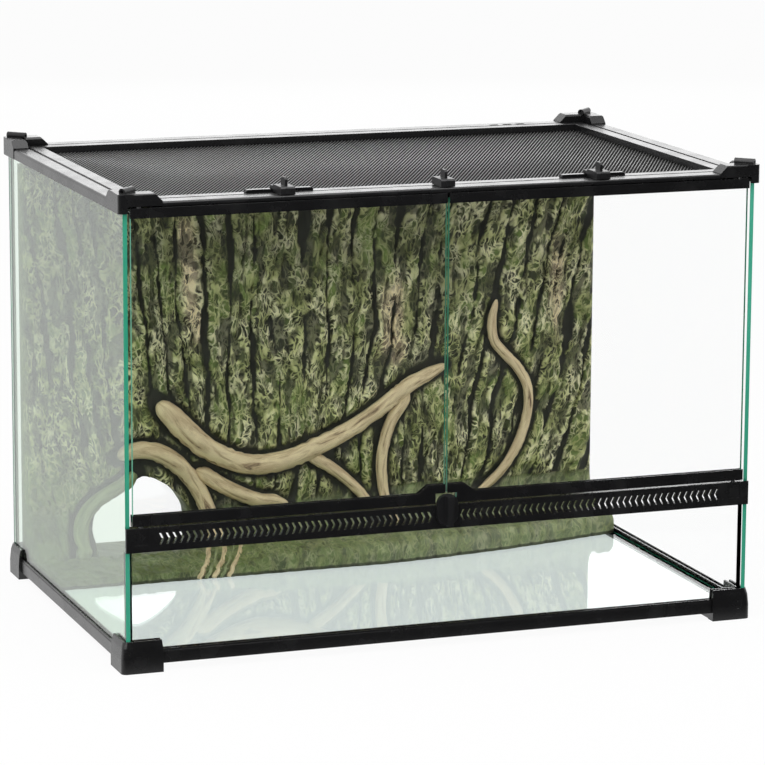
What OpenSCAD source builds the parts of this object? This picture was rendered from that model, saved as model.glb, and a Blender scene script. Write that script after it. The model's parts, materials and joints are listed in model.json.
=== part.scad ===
// Front-opening glass terrarium: glass panes held in a plugged-together frame of rails,
// feet and corner caps, two hinged doors above a vent strip, a lift-off screen lid and a
// moulded bark background with roots. Millimetres, Z up, origin at floor level in the
// middle of the outline (the turn latch stands proud at the front and counts in it).

/* [Overall] */
// Width over the corner pieces
body_w = 610; // [560:5:800]
// Depth over the corner pieces, without the latch
body_d = 400; // [360:5:600]
// Height to the top face of the upper frame
body_h = 421; // [380:1:600]

/* [Glass] */
// Thickness of the side, rear and lower front panes
pane_t = 4; // [3:0.5:4.5]
// Thickness of the floor pane
floor_t = 4; // [3:0.5:5]
// Thickness of the door panes
door_t = 4; // [3:0.5:4.5]
// Distance of the panes' outer faces inside the corner pieces
pane_inset = 4.5; // [4:0.25:5.5]
// Clearance on each side of a pane in its slot
slot_gap = 0.2; // [0.1:0.05:0.3]

/* [Lower frame] */
// Length of each wing of a foot
foot_l = 38; // [30:1:50]
// Height of a foot
foot_h = 29; // [28:1:40]
// How far the outer faces of a foot draw in towards its top
foot_taper = 2.4; // [0.5:0.1:3]
// Underside of the lower rails
rail_z = 7.5; // [3:0.5:8]
// Top of the lower rails
rail_top = 20.5; // [20:0.5:26]
// Top of the ledge that carries the floor pane
ledge_top = 13; // [12:0.5:14]
// Reach of the ledge under the floor pane
ledge_reach = 7; // [4:0.5:10]

/* [Vent strip] */
// Underside of the vent strip
strip_z = 110; // [90:1:130]
// Height of the vent strip
strip_h = 22; // [21:1:30]
// Thickness of the strip's front wall
strip_wall = 2.8; // [2:0.1:3]
// Number of chevron vents in each half
chevrons = 42; // [10:1:42]
// Plain end of the vent strip beside the hinge bush
vent_end = 8.7; // [6:0.1:20]
// Height of a chevron vent
chevron_h = 10.2; // [6:0.1:11]
// Width of the open stroke of a chevron
chevron_stroke = 2.1; // [1:0.1:2.6]

/* [Doors] */
// Gap between the two doors
door_gap = 2.4; // [1.5:0.1:4]
// Distance of the hinge axis inside the corner pieces
hinge_in = 19; // [18.5:0.5:22]
// Radius of the hinge pins
pin_r = 2; // [1.5:0.1:2.2]
// Radial running clearance of the pins and the latch pivot
pin_fit = 0.05; // [0.02:0.01:0.09]
// Height of the lower door trims
trim_h = 10; // [9:0.5:12]
// Height of the upper door trims
top_trim_h = 9; // [8:0.5:10]
// Length of the hinge block at the end of each trim
block_l = 17.5; // [14:0.5:20]
// Height of the raised ends of the lower trims beside the latch
bump_h = 7.5; // [4:0.5:12]
// Half width of the raised ends together, at their foot
bump_w = 27; // [20:1:35]

/* [Latch] */
// Width of the turn latch
latch_w = 20; // [16:1:22]
// Length of the turn latch
latch_l = 28.5; // [26:0.5:36]
// How far the latch stands out of the body
latch_proud = 12; // [9:0.5:16]
// Radius of the latch pivot
pivot_r = 2.5; // [2:0.1:3]

/* [Upper frame] */
// Length of each wing of a corner cap
cap_l = 40; // [34:1:50]
// Height of a corner cap above the upper frame
cap_rise = 7.5; // [5:0.5:10]
// Height of the upper frame's skirt at the sides and rear
skirt_h = 9.5; // [8:0.5:9.5]
// Height of the upper frame's edge above the doors
brow_h = 3.5; // [3:0.25:4]
// Width of the front and rear upper rails
wide_rail = 18; // [17:0.5:24]
// Width of the side upper rails
side_rail = 15; // [13:0.5:20]
// Length of the hollow barrel on a corner cap
barrel_l = 19; // [12:0.5:20]
// Radius of the hollow barrel
barrel_r = 3.2; // [2.5:0.1:4]

/* [Screen lid] */
// Gap between the upper frame and the lid
lid_gap = 2.4; // [2:0.1:4]
// Width of the lid's bars
lid_bar = 13; // [11:0.5:18]
// Height of the lid's bars
lid_h = 9; // [8.5:0.25:10]
// Depth of the mesh below the lid's top face
mesh_depth = 6.6; // [5:0.1:7]
// Thickness of the mesh
mesh_t = 0.6; // [0.4:0.1:1]
// Openings of the mesh along the lid
mesh_across = 12; // [6:1:12]
// Openings of the mesh from front to rear
mesh_deep = 8; // [4:1:12]
// Width of the mesh bars between the openings
mesh_wire = 3; // [1.5:0.1:6]
// Distance of the outer lid locks from the middle
lock_x = 150; // [80:5:200]
// Width of a lid lock
lock_w = 13.5; // [11:0.5:20]
// Travel of the outer lid locks to each side
lock_travel = 20; // [12:1:24]
// Travel of the middle lid lock to each side
mid_travel = 6; // [4:0.5:6]

/* [Cable inlets] */
// Position of the middle one of the three inlets
inlet_x = 209; // [100:1:220]
// Spacing of the inlets
inlet_pitch = 14; // [11:0.5:20]
// Width of an inlet
inlet_w = 9; // [6:0.5:10]

/* [Background] */
// Thickness of the bark wall
wall_t = 32; // [20:1:40]
// Gap between the bark wall and the rear pane
wall_gap = 4.5; // [4.2:0.1:12]
// Clearance of the bark wall at each side pane
wall_side = 5; // [4:0.5:12]
// Depth of the base ledge in front of the bark wall
base_reach = 64; // [50:1:80]
// Extra depth of the base ledge in front of the left half of the wall
base_extra = 48; // [0:1:60]
// Height of the base ledge's front lip
base_lip = 19; // [16:1:30]
// Thickness of the base in front of the cave arch
sill = 9; // [6:0.5:14]
// Radius of the cove between the wall and the base ledge
cove_r = 34; // [20:1:44]
// Middle of the cave arch, from the left end of the bark wall
arch_x = 108; // [90:1:200]
// Half width of the cave arch
arch_r = 51; // [40:1:58]
// Number of furrows in the bark
furrows = 21; // [4:1:24]

/* [Hidden] */
$fn = 48;
slack = 1;                 // how far a cut runs past the faces it opens
hw = body_w / 2;
fy = (latch_proud - body_d) / 2;   // front face of the corner pieces
by = fy + body_d;                  // rear face of the corner pieces
rail_face = 2.5;                   // lower rails lie this far inside the feet
top_face = 0.4;                    // side and rear upper rails lie this far inside the caps
pane_in = pane_inset + pane_t;     // inner face of a pane, from the corner's face
wall_in = pane_in + 2.2;           // inner face of the lower rails
slot_a = pane_inset - slot_gap;
slot_b = pane_in + slot_gap;
slot_z = ledge_top - 1;
ledge_t = 3;
floor_top = ledge_top + floor_t;
tenon_l = 11;
tenon_gap = 0.1;
cap_top = body_h + cap_rise;
skirt_z = body_h - skirt_h;
brow_z = body_h - brow_h;
flange_t = 4;
shelf_z = body_h - lid_h - 2.6;
shelf_top = body_h - lid_h - 0.2;
pane_top = body_h - flange_t - 0.3;
side_in = side_rail + lid_gap;     // outer face of the lid, from the side
wide_in = wide_rail + lid_gap;     // outer face of the lid, from the front or rear
shelf_in = lid_gap + 6;            // reach of the lid shelf past a rail's top flange
strip_top = strip_z + strip_h;
strip_face = 0.5;
edge_cover = strip_face + strip_wall + 0.2;   // corner material in front of the side panes
channel_h = 5;
strip_back = pane_in + slot_gap + 1.5;
low_pane_top = strip_z + channel_h - 0.3;
chevron_mid = strip_z + strip_h / 2 + 0.4;
chevron_x0 = 13.6;
trim_face = 0.6;                   // front face of the door trims, from the body's front
trim_back = 7.4;
door_mid = (trim_face + trim_back) / 2;
trim_z = strip_top + 1.5;
trim_web = 4;
top_trim_top = brow_z - 1.5;
top_trim_z = top_trim_top - top_trim_h;
door_out = hinge_in - 8.5;         // hinge edge of the doors, from the corner's face
door_z0 = trim_z + trim_web + slot_gap;
door_z1 = top_trim_top - trim_web - slot_gap;
socket_w = 11;
chevron_run = hw - hinge_in - socket_w / 2 - vent_end - chevron_x0;
chevron_pitch = chevron_run / chevrons;
socket_z = strip_z + channel_h + 1.9;
pin_deep = 8;                      // reach of a pin into its socket
pivot_z = strip_z + strip_h / 2 + 0.5;
latch_low = 7.7;                   // latch below its pivot
latch_back = 0.2;                  // clear of the strip's face
latch_plate = 4;
lid_x = hw - side_in;
lid_y0 = fy + wide_in;
lid_y1 = by - wide_in;
lid_z = body_h - lid_h;
mesh_z = body_h - mesh_depth - mesh_t;
mesh_grip = 5;
track_h = 2.6;
track_w = 6;
lock_lift = 0.3;                   // lock above the rail's top face
lock_h = 7.2;
toe_w = 8;
notch_w = toe_w + 1.6;
wall_y = by - pane_in - wall_gap - wall_t;   // front face of the bark wall
wall_x = hw - pane_in - wall_side;
wall_top = shelf_z - 6;
arch_cx = arch_x - wall_x;
base_lip_r = 9;
bead = 3;

// Roots on the bark wall: x, z and radius along each, from the arch foot to the tips.
ROOT_ARCH = [[-252, 22, 7], [-247, 36, 7.5], [-242, 54, 7.5], [-232, 69, 7], [-217, 80, 7],
    [-199, 90, 6.5], [-190, 100, 5.5]];
ROOT_OVER = [[-204, 116, 6], [-190, 122, 8], [-168, 119, 9], [-147, 106, 9], [-131, 87, 8],
    [-120, 66, 8], [-114, 44, 8], [-113, 22, 8]];
ROOT_MAIN = [[-166, 168, 7], [-158, 159, 10], [-142, 142, 11.5], [-121, 123, 11], [-100, 110, 10],
    [-77, 101, 10], [-52, 100, 10], [-27, 105, 9.5], [-3, 114, 9], [22, 124, 8.5], [43, 135, 8],
    [63, 148, 8], [77, 158, 8], [93, 169, 7.5], [114, 179, 6.5], [132, 187, 4.5]];
ROOT_FORK = [[-14, 108, 4], [-6, 102, 6], [10, 92, 6], [28, 78, 5.5], [45, 61, 5], [54, 44, 4]];
ROOT_DROP = [[93, 162, 4], [88, 153, 6], [75, 134, 6], [67, 107, 5.5], [65, 86, 5.5], [68, 58, 5],
    [74, 36, 4]];
ROOT_TIP = [[187, 250, 2.5], [182, 230, 4.5], [184, 210, 5], [195, 196, 5], [210, 180, 5],
    [220, 162, 5], [222, 143, 5], [219, 123, 5], [212, 103, 5], [200, 83, 4.5], [185, 67, 4.5],
    [168, 56, 4]];
ROOT_LOW = [[-128, 98, 5], [-119, 93, 7.5], [-103, 82, 7.5], [-84, 72, 7.5], [-64, 64, 7],
    [-50, 63, 6], [-34, 58, 4]];

function spline(a, b, c, d, t) =
    0.5 * (2 * b + (c - a) * t + (2 * a - 5 * b + 4 * c - d) * t * t
           + (3 * b - a - 3 * c + d) * t * t * t);

// Front of the bark surface at a height, down the wall and its cove.
function skin_y(z) =
    let (low = floor_top + base_lip, h = min(cove_r, low + cove_r - z))
    z > low + cove_r ? wall_y : wall_y - cove_r + sqrt(max(0, cove_r * cove_r - h * h));

// Places a corner piece that is modelled with its outer corner at the origin and its
// wings along +X and +Y: side is -1 or 1 for left or right, end is -1 or 1 for front or rear.
module at_corner(side, end) {
    translate([side * hw, end < 0 ? fy : by, 0])
        mirror([side > 0 ? 1 : 0, 0, 0])
            mirror([0, end > 0 ? 1 : 0, 0])
                children();
}

// Swaps X and Y, for the wing or rail that runs the other way.
module swap_xy() {
    mirror([1, -1, 0]) children();
}

// Extrudes a section drawn in (inward distance, height) along X from x0 to x1.
module along_x(x0, x1) {
    translate([x0, 0, 0]) rotate([90, 0, 90]) linear_extrude(x1 - x0) children();
}

module box(lo, hi) {
    translate(lo) cube(hi - lo);
}

// ---- lower frame ----

module foot_slab(inset, z0, z1) {
    corner_r = 5;
    translate([inset + corner_r, inset + corner_r, z0]) cylinder(r = corner_r, h = z1 - z0, $fn = 32);
    box([inset + corner_r, inset, z0], [foot_l - inset / 3, wall_in, z1]);
}

module foot_wing() {
    hull() {
        foot_slab(0, 0, foot_h * 0.45);
        foot_slab(foot_taper * 0.35, 0, foot_h * 0.8);
        foot_slab(foot_taper, 0, foot_h);
    }
}

module tenon(grow, reach) {
    box([-reach, rail_face + 1.5 - grow, rail_z + 1 - grow],
        [slack, wall_in - 1.2 + grow, slot_z - 1 + grow]);
}

module foot_socket() {
    translate([foot_l, 0, 0]) tenon(tenon_gap, tenon_l + tenon_gap);
}

module foot() {
    color([0.09, 0.09, 0.095]) difference() {
        union() {
            foot_wing();
            swap_xy() foot_wing();
            // ledge under the floor pane, and a square pad below it
            box([wall_in - slack, wall_in - slack, rail_z - slack],
                [foot_l, wall_in + ledge_reach, ledge_top]);
            box([wall_in - slack, wall_in - slack, rail_z - slack],
                [wall_in + ledge_reach, foot_l, ledge_top]);
            box([wall_in - slack, wall_in - slack, 0], [foot_l - 1, foot_l - 1, rail_z]);
        }
        // corner pocket for the floor pane
        box([wall_in, wall_in, ledge_top], [foot_l + slack, foot_l + slack, foot_h + slack]);
        // slots for the side pane and for the front or rear pane
        box([slot_a, edge_cover, slot_z], [slot_b, foot_l + slack, foot_h + slack]);
        box([slot_a, slot_a, slot_z], [foot_l + slack, slot_b, foot_h + slack]);
        foot_socket();
        swap_xy() foot_socket();
    }
}

// A lower rail along X, modelled at the front face y = 0.
module low_rail(length) {
    half = length / 2 - foot_l;
    color([0.10, 0.10, 0.105]) {
        along_x(-half, half) difference() {
            union() {
                translate([rail_face, rail_z]) square([wall_in - rail_face, rail_top - rail_z]);
                translate([wall_in - slack, ledge_top - ledge_t])
                    square([ledge_reach + slack, ledge_t]);
            }
            translate([slot_a, slot_z]) square([slot_b - slot_a, rail_top]);
            // shallow step along the outer top edge
            translate([rail_face - slack, rail_top - 2]) square([slack + 0.6, 3]);
        }
        for (side = [-1, 1])
            mirror([side > 0 ? 1 : 0, 0, 0]) translate([-half, 0, 0]) tenon(0, tenon_l);
    }
}

module low_rail_front() {
    translate([0, fy, 0]) low_rail(body_w);
}

module low_rail_rear() {
    translate([0, by, 0]) mirror([0, 1, 0]) low_rail(body_w);
}

module low_rail_left() {
    translate([-hw, (fy + by) / 2, 0]) swap_xy() low_rail(body_d);
}

// ---- glass ----

glass = [0.75, 0.88, 0.84, 0.35];

module floor_pane() {
    edge = wall_in + 0.5;
    color(glass) box([-hw + edge, fy + edge, ledge_top], [hw - edge, by - edge, floor_top]);
}

module side_pane_left() {
    color(glass) box([-hw + pane_inset, fy + edge_cover + 0.1, slot_z],
                     [-hw + pane_in, by - edge_cover - 0.1, pane_top]);
}

module rear_pane() {
    side = hw - pane_in - 0.3;
    color(glass) box([-side, by - pane_in, slot_z], [side, by - pane_inset, pane_top]);
}

module lower_front_pane() {
    side = hw - pane_in - 0.3;
    color(glass) box([-side, fy + pane_inset, slot_z], [side, fy + pane_in, low_pane_top]);
}

module seal(height0, height1) {
    translate([0, 0, height0]) linear_extrude(height1 - height0)
        polygon([[0, 0], [bead, 0], [0, bead]]);
}

module corner_seals() {
    color([0.7, 0.73, 0.72, 0.8])
        for (side = [-1, 1]) {
            at_corner(side, 1) translate([pane_in, pane_in, 0]) seal(foot_h + 0.2, shelf_z - 0.3);
            at_corner(side, -1) translate([pane_in, pane_in, 0]) seal(foot_h + 0.2, strip_z - 0.3);
        }
}

// ---- vent strip ----

// One chevron vent pointing right, its lower left corner at the origin.
module chevron() {
    reach = chevron_h / 4;
    polygon([[0, 0], [chevron_stroke, 0], [chevron_stroke + reach, chevron_h / 2],
             [chevron_stroke, chevron_h], [0, chevron_h], [reach, chevron_h / 2]]);
}

module chevron_row() {
    for (i = [0 : chevrons - 1])
        translate([-chevron_x0 - chevron_h / 4 - chevron_stroke - i * chevron_pitch,
                   chevron_mid - chevron_h / 2])
            chevron();
}

module strip_section() {
    translate([strip_face, strip_z]) square([strip_wall, strip_h]);
    // channel that grips the lower front pane
    translate([strip_face, strip_z]) square([slot_a - strip_face, channel_h]);
    translate([strip_face, strip_z + channel_h]) square([strip_back - strip_face, 1.5]);
    translate([slot_b, strip_z]) square([strip_back - slot_b, channel_h + slack]);
    // top flange under the doors
    translate([strip_face, strip_top - 1.8]) square([strip_back - strip_face, 1.8]);
}

module socket_window(grow) {
    x = hw - hinge_in;
    box([-x - socket_w / 2 - grow, strip_face - slack, socket_z - grow],
        [-x + socket_w / 2 + grow, strip_back + slack, strip_top - 1.8]);
}

module vent_strip() {
    half = hw - pane_in - 0.5;
    color([0.10, 0.10, 0.105]) translate([0, fy, 0]) difference() {
        union() {
            along_x(-half, half) strip_section();
            // the front wall also covers the side panes' front edges
            box([-hw + pane_inset, strip_face, strip_z],
                [hw - pane_inset, strip_face + strip_wall, strip_top]);
        }
        translate([0, strip_face - slack, 0]) rotate([90, 0, 0]) mirror([0, 0, 1])
            linear_extrude(strip_wall + 2 * slack) {
                chevron_row();
                mirror([1, 0]) chevron_row();
            }
        for (side = [0, 1]) mirror([side, 0, 0]) {
            socket_window(0.15);
            translate([-hw + hinge_in, door_mid, strip_top - 1.8 - slack])
                cylinder(r = pin_r + pin_fit, h = 1.8 + 2 * slack);
        }
        translate([0, strip_face - slack, pivot_z]) rotate([-90, 0, 0])
            cylinder(r = pivot_r + pin_fit, h = strip_wall + 2 * slack);
    }
}

// Bush that carries a door's lower pin; its face fills the window in the strip.
module hinge_socket_left() {
    color([0.13, 0.13, 0.135]) difference() {
        translate([0, fy, 0])
            box([-hw + hinge_in - socket_w / 2, strip_face + 0.2, socket_z],
                [-hw + hinge_in + socket_w / 2, strip_back, strip_top - 1.8]);
        translate([-hw + hinge_in, fy + door_mid, strip_top - pin_deep - 0.5])
            cylinder(r = pin_r + pin_fit, h = pin_deep + 2);
    }
}

// ---- turn latch ----

module latch_outline(grow) {
    r = latch_w / 2 - 1;
    x = latch_w / 2 - r;
    hull() for (sx = [-1, 1], z = [r - latch_low, latch_l - latch_low - r])
        translate([sx * x, z]) circle(r = r + grow, $fn = 32);
}

module turn_latch() {
    ridge_w = 8;
    ridge_top = 5.5;
    color([0.12, 0.12, 0.125]) translate([0, fy + strip_face - latch_back, pivot_z]) difference() {
        union() {
            rotate([90, 0, 0]) linear_extrude(latch_plate) latch_outline(0);
            intersection() {
                translate([0, 0, -latch_low]) linear_extrude(latch_l)
                    polygon([[-ridge_w / 2, -1], [ridge_w / 2, -1],
                             [ridge_top / 2, -latch_proud - strip_face + latch_back],
                             [-ridge_top / 2, -latch_proud - strip_face + latch_back]]);
                rotate([90, 0, 0]) linear_extrude(2 * latch_proud) latch_outline(-0.6);
            }
        }
        rotate([90, 0, 0]) translate([0, 0, -slack])
            cylinder(r = pivot_r + pin_fit, h = latch_plate + 3 + slack);
    }
}

module latch_pivot() {
    head_y = strip_face + strip_wall + 0.1;
    color([0.55, 0.56, 0.57]) translate([0, fy, pivot_z]) {
        translate([0, head_y + 1.8, 0]) rotate([90, 0, 0])
            cylinder(r = pivot_r, h = head_y + 1.8 - strip_face + latch_plate + 2);
        translate([0, head_y + 1.8, 0]) rotate([90, 0, 0]) cylinder(r = pivot_r + 2, h = 1.8);
    }
}

// ---- doors ----

module trim_section(z0, height, web_down) {
    slot0 = door_mid - door_t / 2 - slot_gap;
    difference() {
        translate([trim_face, z0]) square([trim_back - trim_face, height]);
        translate([slot0, web_down ? z0 + trim_web : z0 - slack])
            square([door_t + 2 * slot_gap, height - trim_web + slack]);
    }
}

// Room behind the turn latch, cut out of both doors' inner lower corners.
module latch_recess() {
    w = latch_w / 2 + 0.4;
    box([-w, fy - slack, trim_z - slack],
        [w, fy + trim_back + slack, pivot_z + latch_l - latch_low + 0.4]);
}

// Raised end of a lower trim: two cheeks with a sloped shoulder.
module trim_bump() {
    z0 = trim_z + trim_h;
    slope = bump_h + 2;
    cheek = door_mid - door_t / 2 - slot_gap - trim_face;
    for (y = [trim_face, trim_back - cheek])
        translate([0, fy + y + cheek, 0]) rotate([90, 0, 0]) linear_extrude(cheek)
            polygon([[-bump_w, z0 - slack], [-bump_w, z0], [-bump_w + slope, z0 + bump_h],
                     [-door_gap / 2, z0 + bump_h], [-door_gap / 2, z0 - slack]]);
}

module door_trim_low_left() {
    color([0.10, 0.10, 0.105]) difference() {
        union() {
            translate([0, fy, 0])
                along_x(-hw + door_out + block_l + 0.2, -door_gap / 2)
                    trim_section(trim_z, trim_h, true);
            trim_bump();
        }
        latch_recess();
    }
}

module door_trim_top_left() {
    color([0.10, 0.10, 0.105]) translate([0, fy, 0])
        along_x(-hw + door_out + block_l + 0.2, -door_gap / 2)
            trim_section(top_trim_z, top_trim_h, false);
}

module door_pane_left() {
    color(glass) difference() {
        translate([0, fy, 0])
            box([-hw + door_out + 1, door_mid - door_t / 2, door_z0],
                [-door_gap / 2, door_mid + door_t / 2, door_z1]);
        latch_recess();
    }
}

module hinge_blocks_left() {
    x0 = -hw + door_out;
    color([0.11, 0.11, 0.115]) translate([0, fy, 0]) difference() {
        union() {
            along_x(x0, x0 + block_l) trim_section(trim_z, trim_h, true);
            along_x(x0, x0 + block_l) trim_section(top_trim_z, top_trim_h, false);
        }
        translate([-hw + hinge_in, door_mid, trim_z - slack])
            cylinder(r = pin_r + pin_fit, h = trim_web + 2 * slack);
        translate([-hw + hinge_in, door_mid, top_trim_top - trim_web - slack])
            cylinder(r = pin_r + pin_fit, h = trim_web + 2 * slack);
    }
}

module hinge_pins_left() {
    color([0.62, 0.63, 0.64]) translate([-hw + hinge_in, fy + door_mid, 0]) {
        translate([0, 0, strip_top - pin_deep])
            cylinder(r = pin_r, h = trim_z + trim_web - strip_top + pin_deep);
        translate([0, 0, top_trim_top - trim_web])
            cylinder(r = pin_r, h = brow_z - top_trim_top + trim_web + pin_deep - 1);
    }
}

// ---- upper frame ----

// Section of an upper rail in (inward distance, height), before its slots are cut.
module top_section(face, width, low) {
    edge_r = 2.5;
    difference() {
        translate([face, low]) square([width - face, body_h - low]);
        translate([face - slack, body_h - edge_r]) square([edge_r + slack, edge_r + slack]);
    }
    translate([face + edge_r, body_h - edge_r]) circle(r = edge_r);
}

module side_top_section(width) {
    difference() {
        top_section(top_face, width, skirt_z);
        translate([slot_a, skirt_z - slack]) square([slot_b - slot_a, skirt_h - flange_t + slack]);
        translate([slot_b + 2, skirt_z - slack]) square([width, skirt_h - flange_t + slack]);
    }
    translate([slot_b, shelf_z]) square([2, body_h - flange_t - shelf_z + slack]);
    translate([slot_b, shelf_z]) square([width + shelf_in - slot_b, shelf_top - shelf_z]);
}

module front_top_section() {
    top_section(strip_face, wide_rail, brow_z);
    translate([trim_back + 2, shelf_z]) square([2, brow_z - shelf_z + slack]);
    translate([trim_back + 2, shelf_z])
        square([wide_rail + shelf_in - trim_back - 2, shelf_top - shelf_z]);
}

// Tongue of an upper rail that plugs into the end of a cap's wing.
module top_tenon(grow, reach) {
    box([-reach, 9.5 - grow, body_h - 3 - grow], [slack, 13 + grow, body_h - 1 + grow]);
}

module top_tenons(half) {
    for (side = [0, 1])
        mirror([side, 0, 0]) translate([-half, 0, 0]) top_tenon(0, tenon_l);
}

// Notches in the front rail's edge, through which the lock toes drop in and lift out.
module lock_notches() {
    for (x = [-lock_x, 0, lock_x])
        box([x - notch_w / 2, wide_rail - 3.2, brow_z - slack],
            [x + notch_w / 2, wide_rail + slack, body_h + slack]);
}

module rail_top_front() {
    half = hw - cap_l;
    color([0.10, 0.10, 0.105]) translate([0, fy, 0]) {
        difference() {
            along_x(-half, half) front_top_section();
            lock_notches();
        }
        top_tenons(half);
    }
}

// Cable inlets, open through the rail and its shelf.
module cable_inlets() {
    y0 = slot_b + 3;
    for (i = [-1 : 1])
        box([inlet_x + i * inlet_pitch - inlet_w / 2, y0, shelf_z - slack],
            [inlet_x + i * inlet_pitch + inlet_w / 2, y0 + 5, body_h + slack]);
}

module rail_top_rear() {
    half = hw - cap_l;
    color([0.10, 0.10, 0.105]) translate([0, by, 0]) mirror([0, 1, 0]) {
        difference() {
            along_x(-half, half) side_top_section(wide_rail);
            cable_inlets();
        }
        top_tenons(half);
    }
}

module rail_top_left() {
    half = body_d / 2 - cap_l;
    color([0.10, 0.10, 0.105]) translate([-hw, (fy + by) / 2, 0]) swap_xy() {
        along_x(-half, half) side_top_section(side_rail);
        top_tenons(half);
    }
}

// Wing of a corner cap along X: a sloped end seen from the side, and a bevelled section.
module cap_wing(width, low) {
    slope = 7;
    bevel = 1.8;
    intersection() {
        rotate([90, 0, 0]) translate([0, 0, -width]) linear_extrude(width)
            polygon([[0, low], [cap_l, low], [cap_l, body_h + 0.6], [cap_l - slope, cap_top],
                     [0, cap_top]]);
        along_x(0, cap_l)
            polygon([[0, low], [width, low], [width, cap_top - bevel], [width - bevel, cap_top],
                     [1, cap_top], [0, cap_top - 1]]);
        union() {
            corner_r = 3.5;
            translate([corner_r, corner_r, low]) cylinder(r = corner_r, h = cap_top - low);
            box([corner_r, 0, low], [cap_l, width, cap_top]);
            box([0, corner_r, low], [cap_l, width, cap_top]);
        }
    }
}

// Hollow barrel lying across the corner, with its bore open at both ends.
module barrel_at(r, length) {
    translate([11, 11, cap_top + barrel_r * 0.55]) rotate([90, 0, 135])
        translate([0, 0, -length / 2]) cylinder(r = r, h = length);
}

module cap_front() {
    pin_hole = brow_z + pin_deep;
    color([0.10, 0.10, 0.105]) difference() {
        union() {
            cap_wing(wide_rail, brow_z);
            swap_xy() cap_wing(side_rail, skirt_z);
            barrel_at(barrel_r, barrel_l);
        }
        barrel_at(1.5, barrel_l + slack);
        // slot for the side pane, closed at the front
        box([slot_a, edge_cover, skirt_z - slack], [slot_b, cap_l + slack, body_h - flange_t]);
        // room for the hinge end of the door
        box([slot_b, -slack, skirt_z - slack], [cap_l, wide_rail, brow_z]);
        box([slot_b + 2, wide_rail - slack, skirt_z - slack],
            [cap_l, cap_l + slack, body_h - flange_t]);
        translate([hinge_in, door_mid, brow_z - slack])
            cylinder(r = pin_r + pin_fit, h = pin_hole - brow_z + slack);
        translate([cap_l, 0, 0]) top_tenon(tenon_gap, tenon_l + tenon_gap);
        swap_xy() translate([cap_l, 0, 0]) top_tenon(tenon_gap, tenon_l + tenon_gap);
    }
}

module cap_rear() {
    color([0.10, 0.10, 0.105]) difference() {
        union() {
            cap_wing(wide_rail, skirt_z);
            swap_xy() cap_wing(side_rail, skirt_z);
            barrel_at(barrel_r, barrel_l);
        }
        barrel_at(1.5, barrel_l + slack);
        box([slot_a, edge_cover, skirt_z - slack], [slot_b, cap_l + slack, body_h - flange_t]);
        box([slot_a, slot_a, skirt_z - slack], [cap_l + slack, slot_b, body_h - flange_t]);
        box([slot_b + 2, slot_b + 2, skirt_z - slack],
            [cap_l + slack, cap_l + slack, body_h - flange_t]);
        translate([cap_l, 0, 0]) top_tenon(tenon_gap, tenon_l + tenon_gap);
        swap_xy() translate([cap_l, 0, 0]) top_tenon(tenon_gap, tenon_l + tenon_gap);
    }
}

// ---- screen lid ----

// A lid bar along X with mitred ends, its outer face at y = 0.
module lid_bar_piece(length) {
    half = length / 2;
    color([0.10, 0.10, 0.105]) intersection() {
        along_x(-half, half) difference() {
            translate([0, lid_z]) square([lid_bar, lid_h]);
            // rebate that takes the mesh from below
            translate([lid_bar - mesh_grip, lid_z - slack])
                square([lid_bar, mesh_z + mesh_t - lid_z + slack]);
            translate([-slack, body_h - 0.8]) square([slack + 0.8, 2]);
        }
        translate([0, 0, lid_z - slack]) linear_extrude(lid_h + 2 * slack)
            polygon([[-half, 0], [half, 0], [half - lid_bar, lid_bar], [-half + lid_bar, lid_bar]]);
    }
}

module lid_bar_front() {
    key_w = 2;
    translate([0, lid_y0, 0]) lid_bar_piece(2 * lid_x);
    // rib on which the middle lock slides
    color([0.10, 0.10, 0.105])
        box([-6, lid_y0 + 1.2, body_h - 0.5], [6, lid_y0 + 1.2 + key_w, body_h + 1.6]);
}

module lid_bar_rear() {
    translate([0, lid_y1, 0]) mirror([0, 1, 0]) lid_bar_piece(2 * lid_x);
}

module lid_bar_left() {
    translate([-lid_x, (lid_y0 + lid_y1) / 2, 0]) swap_xy() lid_bar_piece(lid_y1 - lid_y0);
}

module lid_mesh() {
    edge = lid_bar - mesh_grip + 0.3;
    open_x = lid_x - lid_bar;
    open_y0 = lid_y0 + lid_bar;
    pitch_x = (2 * open_x + mesh_wire) / mesh_across;
    pitch_y = (lid_y1 - lid_y0 - 2 * lid_bar + mesh_wire) / mesh_deep;
    color([0.16, 0.16, 0.165]) difference() {
        box([-lid_x + edge, lid_y0 + edge, mesh_z], [lid_x - edge, lid_y1 - edge, mesh_z + mesh_t]);
        for (i = [0 : mesh_across - 1], j = [0 : mesh_deep - 1])
            translate([-open_x + i * pitch_x, open_y0 + j * pitch_y, mesh_z - slack])
                cube([pitch_x - mesh_wire, pitch_y - mesh_wire, mesh_t + 2 * slack]);
    }
}

module mesh_spline() {
    a = lid_bar - mesh_grip + 0.3;
    w = mesh_grip - 1;
    z0 = lid_z + 0.2;
    z1 = mesh_z;
    color([0.07, 0.07, 0.07]) difference() {
        box([-lid_x + a, lid_y0 + a, z0], [lid_x - a, lid_y1 - a, z1]);
        box([-lid_x + a + w, lid_y0 + a + w, z0 - slack], [lid_x - a - w, lid_y1 - a - w, z1 + slack]);
    }
}

// Track on which an outer lock slides.
module lock_track(x) {
    half = lock_travel + lock_w / 2 + 4.5;
    y0 = lid_y0 + 5.6;
    color([0.10, 0.10, 0.105]) difference() {
        box([x - half, y0, body_h], [x + half, y0 + track_w, body_h + track_h]);
        for (side = [-1, 1])
            translate([x + side * half, y0 - slack, body_h + track_h]) rotate([0, 45, 0])
                cube([2, 2 * track_w, 2], center = true);
    }
}

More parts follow.
